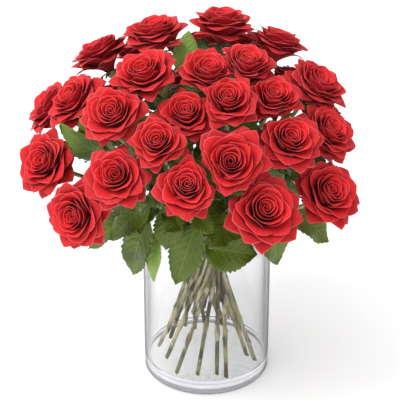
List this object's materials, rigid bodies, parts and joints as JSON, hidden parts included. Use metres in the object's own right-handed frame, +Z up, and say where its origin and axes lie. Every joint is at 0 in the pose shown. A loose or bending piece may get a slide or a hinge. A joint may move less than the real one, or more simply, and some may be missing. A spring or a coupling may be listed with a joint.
{
  "type": "roses in a vase",
  "caption": "Hand-tied dome of open red roses with green toothed leaves, standing in a straight clear glass cylinder vase with a little water.",
  "frame": {"origin": "middle of the vase's flat foot, on the surface that the vase stands on", "axes": "+Z up along the vase's axis, -Y to the bouquet's front as pictured, +X to the right seen from the front"},
  "size_m": [0.3775, 0.3918, 0.439],
  "materials": {
    "vase_glass": "clear polished glass, faintly grey at its edges",
    "water": "clear still water",
    "petals": "soft velvety red petals, darker towards their bases",
    "stems_and_leaves": "fresh green rose stems and leaves, satin, with paler undersides"
  },
  "bodies": {
    "root": {"vase": "vase_glass", "water": "water", "bloom_01": "petals", "bloom_02": "petals", "bloom_03": "petals", "bloom_04": "petals", "bloom_05": "petals", "bloom_06": "petals", "bloom_07": "petals", "bloom_08": "petals", "bloom_09": "petals", "bloom_10": "petals", "bloom_11": "petals", "bloom_12": "petals", "bloom_13": "petals", "bloom_14": "petals", "bloom_15": "petals", "bloom_16": "petals", "bloom_17": "petals", "bloom_18": "petals", "bloom_19": "petals", "bloom_20": "petals", "bloom_21": "petals", "bloom_22": "petals", "bloom_23": "petals", "bloom_24": "petals", "bloom_25": "petals", "bloom_26": "petals", "bloom_27": "petals", "bloom_28": "petals", "bloom_29": "petals", "bloom_30": "petals", "bloom_31": "petals", "bloom_32": "petals", "bloom_33": "petals", "bloom_34": "petals", "bloom_35": "petals", "bloom_36": "petals", "stem_01": "stems_and_leaves", "stem_02": "stems_and_leaves", "stem_03": "stems_and_leaves", "stem_04": "stems_and_leaves", "stem_05": "stems_and_leaves", "stem_06": "stems_and_leaves", "stem_07": "stems_and_leaves", "stem_08": "stems_and_leaves", "stems_09_10": "stems_and_leaves", "stems_11_12": "stems_and_leaves", "stems_13_14": "stems_and_leaves", "stems_15_16": "stems_and_leaves", "stems_17_18": "stems_and_leaves", "stems_19_20": "stems_and_leaves", "stems_21_22": "stems_and_leaves", "stems_23_24": "stems_and_leaves", "stems_25_26": "stems_and_leaves", "stems_27_28": "stems_and_leaves", "stems_29_30": "stems_and_leaves", "stems_31_32": "stems_and_leaves", "stems_33_34": "stems_and_leaves", "stems_35_36": "stems_and_leaves"}
  },
  "joints": []
}
